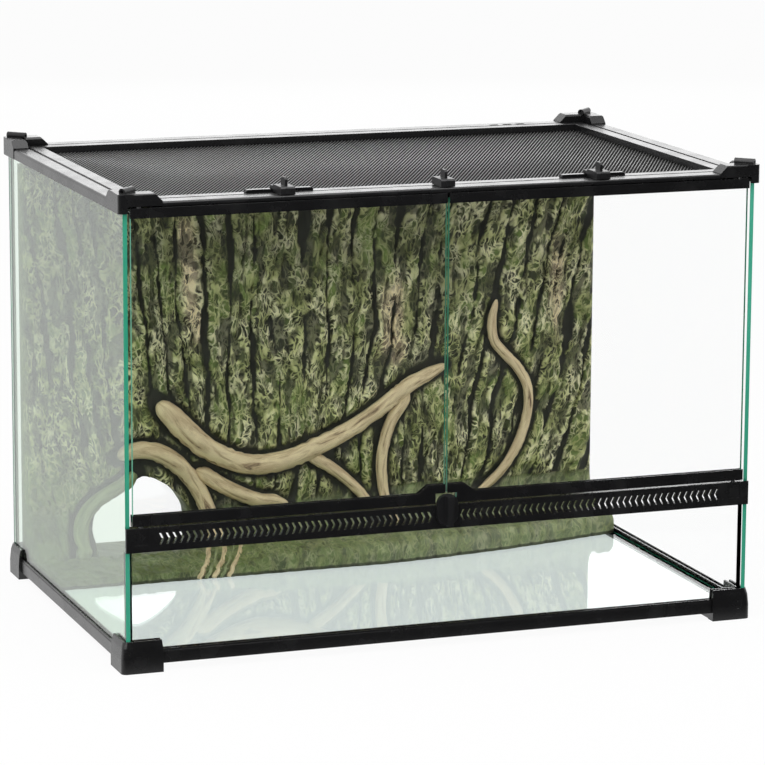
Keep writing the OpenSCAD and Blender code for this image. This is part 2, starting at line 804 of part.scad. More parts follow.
// Sliding lock: a block across the frame gap, a finger fin, and a toe that catches
// under the front rail when the lock is pushed to either side.
module lock_block() {
    bottom = body_h + lock_lift;
    top = body_h + lock_h;
    fin_t = 2.6;
    back = wide_in + 5;
    along_x(-lock_w / 2, lock_w / 2)
        polygon([[2.5, bottom], [back, bottom], [back, top - 1], [back - 1, top],
                 [4, top], [2.5, top - 1.5]]);
    along_x(-fin_t / 2, fin_t / 2)
        polygon([[8, top - 1], [19, top - 1], [19, top + 5.5], [17, top + 7.6], [10.5, top + 7.6],
                 [8, top + 5.8]]);
    along_x(-fin_t / 2 - 0.8, fin_t / 2 + 0.8)
        polygon([[1.6, bottom + 1], [4, bottom + 1], [4, top - 1], [1.6, top - 1]]);
}

module lock_toe() {
    stem0 = wide_rail + 0.4;
    hook_z = brow_z - 1.1;
    box([-toe_w / 2, stem0, hook_z - 2.8], [toe_w / 2, stem0 + 1.5, body_h + lock_lift + slack]);
    box([-toe_w / 2, wide_rail - 2.6, hook_z - 2.8], [toe_w / 2, stem0 + 1, hook_z]);
}

module outer_lock(x) {
    saddle0 = wide_in + 5 - slack;
    saddle1 = wide_in + 5.6 + track_w + 0.4;
    color([0.12, 0.12, 0.125]) translate([x, fy, 0]) {
        lock_block();
        lock_toe();
        // saddle over the track, with a lip behind it
        box([-lock_w / 2, saddle0, body_h + track_h + 0.3],
            [lock_w / 2, saddle1 + 1, body_h + track_h + 2.9]);
        box([-lock_w / 2, saddle1, body_h + lock_lift],
            [lock_w / 2, saddle1 + 1, body_h + track_h + 1]);
    }
}

module middle_lock() {
    color([0.12, 0.12, 0.125]) translate([0, fy, 0]) {
        difference() {
            lock_block();
            box([-lock_w, wide_in + 0.9, body_h - slack], [lock_w, wide_in + 3.5, body_h + 1.9]);
        }
        lock_toe();
    }
}

// ---- bark background ----

// Tube through the points of a root, with its radius changing along it; each span is
// divided smoothly and each ring has eight corners.
module root(points) {
    sides = 8;
    steps = 3;
    n = len(points);
    at = function (i) points[max(0, min(n - 1, i))];
    line = [for (i = [0 : n - 2], k = [0 : steps - 1])
                spline(at(i - 1), at(i), at(i + 1), at(i + 2), k / steps), points[n - 1]];
    m = len(line);
    // depth of the centre line: the root lies half sunk in the wall
    ring = function (i)
        let (p = line[i], q = line[min(m - 1, i + 1)] - line[max(0, i - 1)],
             d = [q[0], q[1]] / norm([q[0], q[1]]))
        [for (s = [0 : sides - 1])
            let (a = 360 * s / sides, across = p[2] * cos(a), out = p[2] * sin(a))
            [p[0] - d[1] * across, skin_y(p[1]) - 0.35 * p[2] - out, p[1] + d[0] * across]];
    skin = [for (i = [0 : m - 1]) each ring(i)];
    ends = [for (p = [line[0], line[m - 1]]) [p[0], skin_y(p[1]) - 0.35 * p[2], p[1]]];
    tube = [for (i = [0 : m - 2], s = [0 : sides - 1])
                let (a = i * sides + s, b = i * sides + (s + 1) % sides)
                each [[a, a + sides, b], [b, a + sides, b + sides]]];
    caps = [for (s = [0 : sides - 1])
                each [[m * sides, s, (s + 1) % sides],
                      [m * sides + 1, (m - 1) * sides + (s + 1) % sides, (m - 1) * sides + s]]];
    polyhedron(concat(skin, ends), concat(tube, caps));
}

// Section of the wall, its cove and the base ledge, in (distance in front of the wall's
// back, height).
module bark_section() {
    lip = wall_t + base_reach;
    lip_z = floor_top + base_lip;
    difference() {
        union() {
            translate([0, floor_top]) square([wall_t, wall_top - floor_top]);
            translate([0, floor_top]) square([lip - base_lip_r, base_lip]);
            translate([0, floor_top]) square([lip, base_lip - base_lip_r]);
            translate([lip - base_lip_r, lip_z - base_lip_r]) circle(r = base_lip_r);
            translate([0, floor_top]) square([wall_t + cove_r, base_lip + cove_r]);
        }
        translate([wall_t + cove_r, lip_z + cove_r]) circle(r = cove_r);
        translate([wall_t + cove_r, lip_z]) square([lip, 2 * cove_r]);
        translate([wall_t, lip_z + cove_r]) square([lip, 2 * cove_r]);
    }
}

// Furrows between the bark ridges; they lean outwards towards the right.
module bark_furrows() {
    spacing = 2 * wall_x / furrows;
    for (i = [1 : furrows - 1]) {
        x = -wall_x + i * spacing;
        lean = x > wall_x / 4 ? 14 * (x / wall_x) : 3 * sin(70 * i);
        low = floor_top + base_lip + cove_r + 50 + 14 * sin(140 * i);
        translate([x, wall_y - 1.5, low]) rotate([0, lean, 0])
            cylinder(r = 4, h = (wall_top - low) * (0.72 + 0.12 * sin(97 * i)), $fn = 16);
    }
}

// Deeper left half of the base ledge: its plan narrows towards the right.
module deep_base() {
    y1 = wall_y - base_reach;
    y0 = y1 - base_extra;
    for (step = [[0, base_lip - base_lip_r], [2.6, base_lip - 2.6], [base_lip_r, base_lip]])
        translate([0, 0, floor_top]) linear_extrude(step[1])
            polygon([[-wall_x, wall_y], [-wall_x, y0 + step[0]],
                     [wall_x * 0.106, y0 + step[0]],
                     [wall_x * 0.563, y0 + base_extra * 0.4 + step[0]],
                     [wall_x, y1 + step[0]], [wall_x, wall_y]]);
}

// Cut that thins the base in front of the cave arch and to the left of it; it rises
// gently at its right end and at 45 degrees towards the wall.
module threshold() {
    low = floor_top + sill;
    rise = base_lip - sill + 4;
    right = arch_cx + arch_r + 8;
    back = wall_y - cove_r;
    reach = base_reach + base_extra;
    intersection() {
        translate([0, wall_y, 0]) rotate([90, 0, 0]) linear_extrude(reach + slack)
            polygon([[-wall_x - slack, low], [right, low], [right + 5 * rise, low + rise],
                     [-wall_x - slack, low + rise]]);
        translate([-wall_x - slack, 0, 0]) rotate([90, 0, 90]) linear_extrude(2 * wall_x)
            polygon([[back - reach, low], [back, low], [back + rise, low + rise],
                     [back - reach, low + rise]]);
    }
}

module arch_hole() {
    spring = floor_top + base_lip + 12;
    rise = arch_r - 3;
    translate([arch_cx, by, 0]) rotate([90, 0, 0]) linear_extrude(by - wall_y + cove_r + slack) {
        translate([0, spring]) scale([1, rise / arch_r]) circle(r = arch_r);
        translate([-arch_r, floor_top + sill]) square([2 * arch_r, spring - floor_top - sill]);
    }
}

module bark_background() {
    color([0.33, 0.42, 0.22]) difference() {
        union() {
            difference() {
                union() {
                    translate([-wall_x, by - pane_in - wall_gap, 0])
                        mirror([0, 1, 0]) along_x(0, 2 * wall_x) bark_section();
                    deep_base();
                }
                threshold();
            }
            root(ROOT_ARCH);
            root(ROOT_OVER);
            root(ROOT_MAIN);
            root(ROOT_FORK);
            root(ROOT_DROP);
            root(ROOT_TIP);
            root(ROOT_LOW);
        }
        bark_furrows();
        arch_hole();
    }
}

at_corner(-1, -1) foot();  // foot_front_left
at_corner(1, -1) foot();  // foot_front_right
at_corner(-1, 1) foot();  // foot_rear_left
at_corner(1, 1) foot();  // foot_rear_right
low_rail_front();  // rail_low_front
low_rail_rear();  // rail_low_rear
low_rail_left();  // rail_low_left
mirror([1, 0, 0]) low_rail_left();  // rail_low_right
floor_pane();
side_pane_left();
mirror([1, 0, 0]) side_pane_left();  // side_pane_right
rear_pane();
lower_front_pane();
vent_strip();
hinge_socket_left();
mirror([1, 0, 0]) hinge_socket_left();  // hinge_socket_right
latch_pivot();
turn_latch();
at_corner(-1, -1) cap_front();  // cap_front_left
at_corner(1, -1) cap_front();  // cap_front_right
at_corner(-1, 1) cap_rear();  // cap_rear_left
at_corner(1, 1) cap_rear();  // cap_rear_right
rail_top_front();
rail_top_rear();
rail_top_left();
mirror([1, 0, 0]) rail_top_left();  // rail_top_right
corner_seals();
bark_background();
door_pane_left();
door_trim_low_left();
door_trim_top_left();
hinge_blocks_left();
hinge_pins_left();
mirror([1, 0, 0]) door_pane_left();  // door_pane_right
mirror([1, 0, 0]) door_trim_low_left();  // door_trim_low_right
mirror([1, 0, 0]) door_trim_top_left();  // door_trim_top_right
mirror([1, 0, 0]) hinge_blocks_left();  // hinge_blocks_right
mirror([1, 0, 0]) hinge_pins_left();  // hinge_pins_right
lid_bar_front();
lid_bar_rear();
lid_bar_left();
mirror([1, 0, 0]) lid_bar_left();  // lid_bar_right
lid_mesh();
mesh_spline();
lock_track(-lock_x);  // lock_track_left
lock_track(lock_x);  // lock_track_right
outer_lock(-lock_x);  // lid_lock_left
outer_lock(lock_x);  // lid_lock_right
middle_lock();  // lid_lock_middle
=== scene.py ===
import json
import math

import bmesh
import bpy
import numpy as np
from mathutils import Matrix, Vector, noise


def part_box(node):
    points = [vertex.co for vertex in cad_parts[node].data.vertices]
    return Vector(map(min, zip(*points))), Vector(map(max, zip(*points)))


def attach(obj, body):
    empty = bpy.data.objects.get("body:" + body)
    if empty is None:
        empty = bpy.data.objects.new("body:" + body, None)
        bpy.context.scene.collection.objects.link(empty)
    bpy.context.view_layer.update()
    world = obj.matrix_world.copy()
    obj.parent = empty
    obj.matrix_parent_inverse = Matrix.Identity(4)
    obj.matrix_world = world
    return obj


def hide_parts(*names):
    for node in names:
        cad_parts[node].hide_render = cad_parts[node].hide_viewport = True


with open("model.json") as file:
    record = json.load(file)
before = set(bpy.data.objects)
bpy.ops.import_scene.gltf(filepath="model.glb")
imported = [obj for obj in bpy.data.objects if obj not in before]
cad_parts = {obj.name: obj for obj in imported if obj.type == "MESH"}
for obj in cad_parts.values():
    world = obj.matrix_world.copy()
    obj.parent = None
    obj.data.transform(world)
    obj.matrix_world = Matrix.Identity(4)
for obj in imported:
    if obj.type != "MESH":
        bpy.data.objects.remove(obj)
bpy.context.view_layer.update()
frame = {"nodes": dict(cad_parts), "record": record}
nodes = frame["nodes"]

MM = 0.001

# Places taken over from the part, in millimetres.
WALL_FRONT = 161.0
WALL_BACK = 193.0
WALL_SIDE = 291.5
WALL_TOP = 403.4
FLOOR_TOP = 17.0
LEDGE_TOP = 36.0
SILL_TOP = 26.0
SILL_END = -124.5
COVE = 34.0
LIP = 9.0

# The bark's grid has this many columns, and the cave arch lies left of and below these.
BARK_COLUMNS = 350
ARCH_SIDE = -120.0
ARCH_ROOF = 110.0

# The lid's mesh, in metres, and the strands of the left root, in millimetres.
WIRE_SPACING = 0.00308
WIRE_SLANT = math.radians(61.4)
STRAND_RADII = (2.6, 1.9, 2.5, 1.7, 2.3)

# The photo's width and the fitted camera's focal length, in pixels.
PHOTO_WIDTH = 765
FOCAL_LENGTH = 3819.0
SENSOR = 36.0


# ---- materials ----

def new_material(name):
    made = bpy.data.materials.new(name)
    made.use_nodes = True
    tree = made.node_tree
    return made, tree, tree.nodes["Principled BSDF"]


def add(tree, kind, **settings):
    node = tree.nodes.new(kind)
    for key, value in settings.items():
        setattr(node, key, value)
    return node


def place(tree, scale=(1, 1, 1), turn=(0, 0, 0)):
    """Object coordinates through a Mapping node."""
    where = add(tree, "ShaderNodeTexCoord")
    mapping = add(tree, "ShaderNodeMapping")
    mapping.inputs["Scale"].default_value = scale
    mapping.inputs["Rotation"].default_value = turn
    tree.links.new(where.outputs["Object"], mapping.inputs["Vector"])
    return mapping.outputs["Vector"]


def noise_at(tree, vector, scale, detail=3.0, rough=0.55, distort=0.0):
    n = add(tree, "ShaderNodeTexNoise")
    n.inputs["Scale"].default_value = scale
    n.inputs["Detail"].default_value = detail
    n.inputs["Roughness"].default_value = rough
    n.inputs["Distortion"].default_value = distort
    tree.links.new(vector, n.inputs["Vector"])
    return n.outputs["Fac"]


def ramp(tree, value, stops):
    r = add(tree, "ShaderNodeValToRGB")
    elements = r.color_ramp.elements
    elements.remove(elements[1])
    elements[0].position = stops[0][0]
    elements[0].color = (*stops[0][1], 1)
    for at, colour in stops[1:]:
        elements.new(at).color = (*colour, 1)
    tree.links.new(value, r.inputs["Fac"])
    return r.outputs["Color"]


def grey(v):
    return (v, v, v)


def bump(tree, height, strength, distance, after=None):
    b = add(tree, "ShaderNodeBump")
    b.inputs["Strength"].default_value = strength
    b.inputs["Distance"].default_value = distance
    tree.links.new(height, b.inputs["Height"])
    if after is not None:
        tree.links.new(after, b.inputs["Normal"])
    return b.outputs["Normal"]


def mix(tree, factor, a, b, how="MIX"):
    m = add(tree, "ShaderNodeMix", data_type="RGBA", blend_type=how)
    for value, socket in ((factor, m.inputs["Factor"]), (a, m.inputs["A"]), (b, m.inputs["B"])):
        if isinstance(value, (tuple, float, int)):
            socket.default_value = (*value, 1) if isinstance(value, tuple) else value
        else:
            tree.links.new(value, socket)
    return m.outputs["Result"]


def moulded_plastic(name, colour, rough, grain=0.00012, scale=900.0):
    """Satin black plastic with a fine moulding grain, softened edges and faint scuffs."""
    made, tree, shader = new_material(name)
    where = place(tree)
    soft = add(tree, "ShaderNodeBevel", samples=4)
    soft.inputs["Radius"].default_value = 0.0007
    fine = noise_at(tree, where, scale, 2.0, 0.6)
    broad = noise_at(tree, where, 38.0, 4.0, 0.6)
    lighter = tuple(c * 1.45 + 0.004 for c in colour)
    darker = tuple(c * 0.8 for c in colour)
    tree.links.new(ramp(tree, broad, [(0.3, darker), (0.55, colour), (0.8, lighter)]),
                   shader.inputs["Base Color"])
    tree.links.new(ramp(tree, broad, [(0.25, grey(rough - 0.05)), (0.75, grey(rough + 0.07))]),
                   shader.inputs["Roughness"])
    tree.links.new(bump(tree, fine, 0.5, grain, soft.outputs["Normal"]), shader.inputs["Normal"])
    shader.inputs["Specular IOR Level"].default_value = 0.5
    return made


def pane_glass(name, index, tint=(1, 1, 1), density=1.0):
    """Float glass seen through its faces, with a faint sea-green body. Its index and tint are
    chosen for reflections and a veil as strong as the photo's."""
    made, tree, shader = new_material(name)
    shader.inputs["Base Color"].default_value = (*tint, 1)
    shader.inputs["Roughness"].default_value = 0.0
    shader.inputs["IOR"].default_value = index
    shader.inputs["Transmission Weight"].default_value = 1.0
    absorb = add(tree, "ShaderNodeVolumeAbsorption")
    absorb.inputs["Color"].default_value = (0.3, 0.9, 0.75, 1)
    absorb.inputs["Density"].default_value = density
    tree.links.new(absorb.outputs["Volume"], tree.nodes["Material Output"].inputs["Volume"])
    return made


def ground_edge():
    """Edge of a float glass pane: sea-green, ground to a satin finish."""
    made, tree, shader = new_material("ground_glass_edge")
    where = place(tree, scale=(1, 1, 0.08))
    cloud = noise_at(tree, where, 60.0, 3.0)
    tree.links.new(ramp(tree, cloud, [(0.3, (0.020, 0.255, 0.150)), (0.55, (0.030, 0.330, 0.205)),
                                      (0.75, (0.060, 0.420, 0.285))]), shader.inputs["Base Color"])
    tree.links.new(ramp(tree, cloud, [(0.3, grey(0.22)), (0.7, grey(0.34))]),
                   shader.inputs["Roughness"])
    shader.inputs["IOR"].default_value = 1.5
    return made


def drawn_steel():
    made, tree, shader = new_material("drawn_steel")
    where = place(tree, scale=(1, 1, 0.06))
    streak = noise_at(tree, where, 2200.0, 2.0)
    tree.links.new(ramp(tree, streak, [(0.3, (0.36, 0.36, 0.37)), (0.7, (0.55, 0.55, 0.56))]),
                   shader.inputs["Base Color"])
    tree.links.new(ramp(tree, streak, [(0.3, grey(0.24)), (0.7, grey(0.38))]),
                   shader.inputs["Roughness"])
    shader.inputs["Metallic"].default_value = 1.0
    return made


def clear_silicone():
    made, tree, shader = new_material("clear_silicone")
    where = place(tree)
    cloud = noise_at(tree, where, 120.0, 3.0)
    tree.links.new(ramp(tree, cloud, [(0.3, (0.80, 0.83, 0.82)), (0.7, (0.90, 0.92, 0.91))]),
                   shader.inputs["Base Color"])
    shader.inputs["Roughness"].default_value = 0.28
    shader.inputs["IOR"].default_value = 1.41
    shader.inputs["Transmission Weight"].default_value = 0.15
    tree.links.new(bump(tree, cloud, 0.4, 0.0004), shader.inputs["Normal"])
    return made


def coated_wire(name, dark, light, rough):
    made, tree, shader = new_material(name)
    where = place(tree)
    speck = noise_at(tree, where, 1500.0, 2.0)
    tree.links.new(ramp(tree, speck, [(0.3, grey(dark)), (0.7, grey(light))]),
                   shader.inputs["Base Color"])
    tree.links.new(ramp(tree, speck, [(0.3, grey(rough)), (0.7, grey(rough + 0.1))]),
                   shader.inputs["Roughness"])
    return made


def soft_cord():
    made, tree, shader = new_material("soft_black_cord")
    where = place(tree)
    rib = noise_at(tree, where, 700.0, 2.0)
    tree.links.new(ramp(tree, rib, [(0.3, grey(0.012)), (0.7, grey(0.028))]),
                   shader.inputs["Base Color"])
    shader.inputs["Roughness"].default_value = 0.7
    tree.links.new(bump(tree, rib, 0.5, 0.0002), shader.inputs["Normal"])
    return made


def attribute(tree, name):
    """A mask that the mesh carries at its vertices."""
    return add(tree, "ShaderNodeAttribute", attribute_name=name).outputs["Fac"]


def math_of(tree, how, a, b):
    m = add(tree, "ShaderNodeMath", operation=how, use_clamp=True)
    for value, socket in ((a, m.inputs[0]), (b, m.inputs[1])):
        if isinstance(value, (float, int)):
            socket.default_value = value
        else:
            tree.links.new(value, socket)
    return m.outputs["Value"]


def warped(tree, vector, scale, reach):
    """Coordinates pushed about by a noise."""
    push = add(tree, "ShaderNodeTexNoise")
    push.inputs["Scale"].default_value = scale
    push.inputs["Detail"].default_value = 2.0
    tree.links.new(vector, push.inputs["Vector"])
    moved = add(tree, "ShaderNodeVectorMath", operation="MULTIPLY_ADD")
    tree.links.new(push.outputs["Color"], moved.inputs[0])
    moved.inputs[1].default_value = (reach, reach, 0.0)
    tree.links.new(vector, moved.inputs[2])
    return moved.outputs["Vector"]


def cells(tree, vector, scale, feature, output):
    net = add(tree, "ShaderNodeTexVoronoi", feature=feature)
    net.inputs["Scale"].default_value = scale
    tree.links.new(vector, net.inputs["Vector"])
    return net.outputs[output]


def plate_colours(tree, pick, broad, fine):
    """Colours of the bark's plates: olive, green where it is mossy, earth where it is bare,
    and even where it has no net of lines."""
    olive = ramp(tree, pick, [(0.22, (0.034, 0.037, 0.017)), (0.40, (0.062, 0.071, 0.026)),
                              (0.66, (0.082, 0.098, 0.033)), (0.84, (0.120, 0.155, 0.046))])
    green = ramp(tree, pick, [(0.14, (0.072, 0.095, 0.026)), (0.34, (0.130, 0.180, 0.042)),
                              (0.80, (0.215, 0.300, 0.075))])
    earth = ramp(tree, pick, [(0.20, (0.085, 0.062, 0.036)), (0.42, (0.24, 0.185, 0.105)),
                              (0.80, (0.56, 0.46, 0.31))])
    body = mix(tree, attribute(tree, "moss"), olive, green)
    body = mix(tree, attribute(tree, "tan"), body, earth)
    even = ramp(tree, broad, [(0.30, (0.085, 0.110, 0.042)), (0.50, (0.145, 0.195, 0.075)),
                              (0.70, (0.21, 0.285, 0.115))])
    even = mix(tree, attribute(tree, "pale_ledge"), even, (0.40, 0.46, 0.31))
    netless = ramp(tree, attribute(tree, "net"), [(0.10, grey(0.85)), (0.42, grey(0))])
    body = mix(tree, netless, body, even)
    speckle = ramp(tree, fine, [(0.25, grey(0.25)), (0.75, grey(1.0))])
    return mix(tree, 0.35, body, speckle, "MULTIPLY")


def raised_lines(tree, along, shaky, top):
    """Mask of the net of raised lines: the edges of wide cells and, in places, of narrow ones."""
    wide = ramp(tree, cells(tree, shaky, 215.0, "DISTANCE_TO_EDGE", "Distance"),
                [(0.06, grey(1)), (0.15, grey(0))])
    narrow = ramp(tree, cells(tree, shaky, 420.0, "DISTANCE_TO_EDGE", "Distance"),
                  [(0.03, grey(1)), (0.15, grey(0))])
    kept = ramp(tree, noise_at(tree, along, 120.0, 2.0), [(0.36, grey(0.10)), (0.50, grey(1))])
    kept_small = ramp(tree, noise_at(tree, along, 150.0, 2.0),
                      [(0.44, grey(0)), (0.56, grey(0.85))])
    line = math_of(tree, "MAXIMUM", math_of(tree, "MULTIPLY", wide, kept),
                   math_of(tree, "MULTIPLY", narrow, kept_small))
    return math_of(tree, "MULTIPLY", math_of(tree, "MULTIPLY", line, attribute(tree, "net")), top)


def bark_paint():
    """Painted foam bark: dark smooth furrows, and plates with a net of pale raised lines
    round cells that are dark pits, olive or green."""
    made, tree, shader = new_material("painted_bark")
    uv = add(tree, "ShaderNodeUVMap", uv_map="grain")
    stretch = add(tree, "ShaderNodeMapping")
    stretch.inputs["Scale"].default_value = (1.0, 0.50, 1.0)
    tree.links.new(uv.outputs["UV"], stretch.inputs["Vector"])
    along = stretch.outputs["Vector"]
    broad = noise_at(tree, along, 55.0, 3.0, 0.6)
    fine = noise_at(tree, along, 420.0, 3.0, 0.6)
    shaky = warped(tree, warped(tree, along, 75.0, 0.016), 330.0, 0.0042)
    pick = cells(tree, shaky, 215.0, "F1", "Color")
    # the relief mask also carries painted shade: round the roots and along the foot of the base
    top = ramp(tree, attribute(tree, "relief"),
               [(0.10, grey(0)), (0.30, grey(0.40)), (0.55, grey(1))])
    furrow = ramp(tree, fine, [(0.3, (0.015, 0.016, 0.010)), (0.7, (0.030, 0.032, 0.020))])
    colour = mix(tree, top, furrow, plate_colours(tree, pick, broad, fine))
    pale = ramp(tree, broad, [(0.34, (0.34, 0.37, 0.13)), (0.46, (0.66, 0.68, 0.31)),
                              (0.60, (0.98, 0.95, 0.60))])
    pale = mix(tree, attribute(tree, "tan"), pale, (0.98, 0.85, 0.53))
    line = raised_lines(tree, along, shaky, top)
    tree.links.new(mix(tree, line, colour, pale), shader.inputs["Base Color"])
    tree.links.new(ramp(tree, fine, [(0.3, grey(0.5)), (0.7, grey(0.75))]),
                   shader.inputs["Roughness"])
    first = bump(tree, line, 0.9, 0.0018)
    second = bump(tree, fine, 0.5, 0.0006, first)
    tree.links.new(second, shader.inputs["Normal"])
    return made


def root_paint(name, light, middle, dark_colour):
    """Painted roots: wood streaked darker along the stem, and painted shade where it meets the
    wall.
    """
    made, tree, shader = new_material(name)
    uv = add(tree, "ShaderNodeUVMap", uv_map="stem")
    mapping = add(tree, "ShaderNodeMapping")
    mapping.inputs["Scale"].default_value = (1.0, 0.16, 1.0)
    tree.links.new(uv.outputs["UV"], mapping.inputs["Vector"])
    along = mapping.outputs["Vector"]
    streak = noise_at(tree, along, 190.0, 4.0, 0.6, 0.6)
    where = place(tree)
    cloud = noise_at(tree, where, 34.0, 4.0, 0.6)
    under = attribute(tree, "under")
    wood = ramp(tree, streak, [(0.31, dark_colour), (0.40, middle), (0.54, light)])
    stained = mix(tree, ramp(tree, cloud, [(0.45, grey(0)), (0.75, grey(0.75))]), wood, middle)
    # painted shade: the side towards the wall or ledge is painted near black
    colour = mix(tree, under, stained, (0.03, 0.032, 0.018))
    tree.links.new(colour, shader.inputs["Base Color"])
    tree.links.new(ramp(tree, streak, [(0.3, grey(0.72)), (0.7, grey(0.5))]),
                   shader.inputs["Roughness"])
    tree.links.new(bump(tree, streak, 0.8, 0.0012), shader.inputs["Normal"])
    return made


frame_black = moulded_plastic("frame_black", (0.008, 0.008, 0.0085), 0.25)
trim_black = moulded_plastic("trim_black", (0.007, 0.007, 0.0075), 0.25)
latch_black = moulded_plastic("latch_black", (0.012, 0.012, 0.013), 0.36, 0.00016, 700.0)
glass = pane_glass("float_glass", 1.5)
coated_glass = pane_glass("low_reflection_glass", 1.05, density=0.2)
door_glass = pane_glass("door_glass", 1.2)
side_glass = pane_glass("side_glass", 1.34, (0.84, 0.95, 0.85))
# the floor pane's tint is darker than its glass alone: partly its green body, partly painted shade
# of the table under it
floor_glass = pane_glass("floor_glass", 1.22, (0.83, 0.91, 0.885))
glass_edge = ground_edge()
steel = drawn_steel()
silicone = clear_silicone()
# the lid's black coated wire in two copies: a grey one as painted highlight, a near-black rough
# one as painted shade
wire = coated_wire("coated_wire", 0.17, 0.27, 0.30)
wire_painted_shade = coated_wire("shaded_wire", 0.008, 0.014, 0.75)
cord = soft_cord()
bark = bark_paint()
pale_root = root_paint("pale_root", (0.83, 0.70, 0.43), (0.58, 0.45, 0.26), (0.14, 0.085, 0.045))
mossy_root = root_paint("mossy_root", (0.33, 0.38, 0.19), (0.19, 0.235, 0.10), (0.06, 0.07, 0.035))

SLOT_FINISH = {
    "frame_plastic": frame_black,
    "trim_plastic": trim_black,
    "latch_plastic": latch_black,
    "pane_glass": glass,
    "steel_pin": steel,
    "seal_silicone": silicone,
    "mesh_steel": wire,
    "spline_rubber": cord,
    "bark_foam": bark,
}
for part in frame["record"]["subparts"]:
    mesh = nodes[part["node"]].data
    mesh.materials.clear()
    mesh.materials.append(SLOT_FINISH[part["material_slot"]])
for name, finish in (("side_pane_right", coated_glass), ("side_pane_left", side_glass),
                     ("floor_pane", floor_glass), ("door_pane_left", door_glass),
                     ("door_pane_right", door_glass), ("lower_front_pane", door_glass)):
    nodes[name].data.materials[0] = finish


def edge_faces(name, thin):
    """Give a pane's narrow faces the ground edge; thin is the axis across the pane."""
    mesh = nodes[name].data
    mesh.materials.append(glass_edge)
    for face in mesh.polygons:
        if abs(face.normal[thin]) < 0.5:
            face.material_index = 1


for name, thin in (("side_pane_left", 0), ("side_pane_right", 0), ("rear_pane", 1),
                   ("door_pane_left", 1), ("door_pane_right", 1), ("floor_pane", 2)):
    edge_faces(name, thin)


# ---- new pieces ----

def piece(name, bm, finish, body, smooth=True):
    """An object from a bmesh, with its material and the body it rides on."""
    mesh = bpy.data.meshes.new(name)
    bm.to_mesh(mesh)
    bm.free()
    if smooth:
        mesh.shade_smooth()
    made = bpy.data.objects.new(name, mesh)
    bpy.context.scene.collection.objects.link(made)
    mesh.materials.append(finish)
    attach(made, body)
    return made


# Roots on the bark: x, z and radius along each, as in the part.
ROOTS = {
    "root_arch": [(-252, 22, 7), (-247, 36, 7.5), (-242, 54, 7.5), (-232, 69, 7), (-217, 80, 7),
                  (-199, 90, 6.5), (-190, 100, 5.5)],
    "root_over": [(-204, 116, 6), (-190, 122, 8), (-168, 119, 9), (-147, 106, 9), (-131, 87, 8),
                  (-120, 66, 8), (-114, 44, 8), (-113, 22, 8)],
    "root_main": [(-166, 168, 7), (-158, 159, 10), (-142, 142, 11.5), (-121, 123, 11),
                  (-100, 110, 10), (-77, 101, 10), (-52, 100, 10), (-27, 105, 9.5), (-3, 114, 9),
                  (22, 124, 8.5), (43, 135, 8), (63, 148, 8), (77, 158, 8), (93, 169, 7.5),
                  (114, 179, 6.5), (132, 187, 4.5)],
    "root_fork": [(-14, 108, 4), (-6, 102, 6), (10, 92, 6), (28, 78, 5.5), (45, 61, 5),
                  (54, 44, 4)],
    "root_drop": [(93, 162, 4), (88, 153, 6), (75, 134, 6), (67, 107, 5.5), (65, 86, 5.5),
                  (68, 58, 5), (74, 36, 4)],
    "root_tip": [(187, 250, 2.5), (182, 230, 4.5), (184, 210, 5), (195, 196, 5), (210, 180, 5),
                 (220, 162, 5), (222, 143, 5), (219, 123, 5), (212, 103, 5), (200, 83, 4.5),
                 (185, 67, 4.5), (168, 56, 4)],
    "root_low": [(-128, 98, 5), (-119, 93, 7.5), (-103, 82, 7.5), (-84, 72, 7.5), (-64, 64, 7),
                 (-50, 63, 6), (-34, 58, 4)],
}

# The cave arch's outline, x and z, open at its foot.
ARCH = [(-233, 24), (-232.5, 36), (-232, 48), (-227, 61), (-218, 71), (-207, 80), (-194, 88),
        (-183, 95), (-174, 94), (-163, 89), (-153, 82), (-144, 74), (-137, 64), (-133, 54),
        (-132, 36), (-132, 24)]


def smooth_line(points, steps):
    """Points along a smooth curve through the given ones."""
    p = np.array(points, float)
    last = len(p) - 1
    line = []
    for i in range(last):
        a, b, c, d = p[max(i - 1, 0)], p[i], p[i + 1], p[min(i + 2, last)]
        for k in range(steps):
            t = k / steps
            line.append(0.5 * (2 * b + (c - a) * t + (2 * a - 5 * b + 4 * c - d) * t * t
                               + (3 * b - a - 3 * c + d) * t ** 3))
    line.append(p[last])
    return np.array(line)


def skin_y(z):
    """Front of the plain wall and its cove at a height."""
    z = np.asarray(z, float)
    h = np.clip(LEDGE_TOP + COVE - z, 0, COVE)
    return WALL_FRONT - COVE + np.sqrt(COVE * COVE - h * h)


def base_reach(x):
    """Reach of the base ledge in front of the wall: deeper on the left."""
    x = np.asarray(x, float)
    t = np.clip((x - 31) / (WALL_SIDE - 31), 0, 1)
    return 64 + 48 * (1 - 0.45 * t - 0.55 * t * t)


def bark_rows():
    """Steps down the wall, round its cove, out over the base ledge and down its lip:
    the kind of each row and how far it is along that stretch."""
    rows = [("wall", t) for t in np.linspace(0, 1, 150)]
    rows += [("cove", t) for t in np.linspace(0, 1, 25)[1:]]
    rows += [("ledge", t) for t in np.linspace(0, 1, 31)[1:]]
    rows += [("lip", t) for t in np.linspace(0, 1, 7)[1:]]
    rows += [("face", t) for t in np.linspace(0, 1, 5)[1:]]
    return rows


